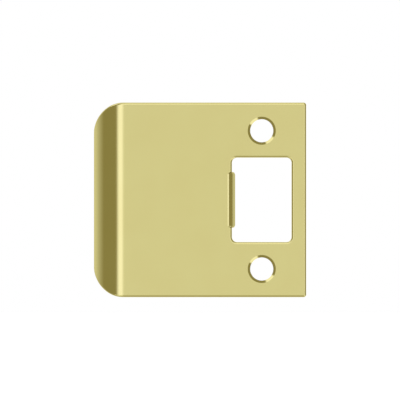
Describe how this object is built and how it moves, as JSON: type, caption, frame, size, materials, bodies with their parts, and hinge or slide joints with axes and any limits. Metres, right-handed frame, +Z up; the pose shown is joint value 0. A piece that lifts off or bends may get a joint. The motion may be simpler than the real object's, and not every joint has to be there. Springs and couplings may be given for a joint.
{
  "type": "door strike plate",
  "caption": "Folded brass plate with a lip curled back along one side, a rounded rectangular latch opening with a bent adjusting tab, and a countersunk screw hole above and below it.",
  "frame": {"origin": "midway between the two screw holes, on the back of the plate, where it meets the jamb", "axes": "+Z up, the face of the plate looks along -Y, and the lip reaches out along -X and curls back to +Y"},
  "size_m": [0.0624, 0.0081, 0.0572],
  "materials": {
    "polished_brass": "polished and lacquered"
  },
  "bodies": {
    "root": {"strike_plate": "polished_brass"}
  },
  "joints": []
}
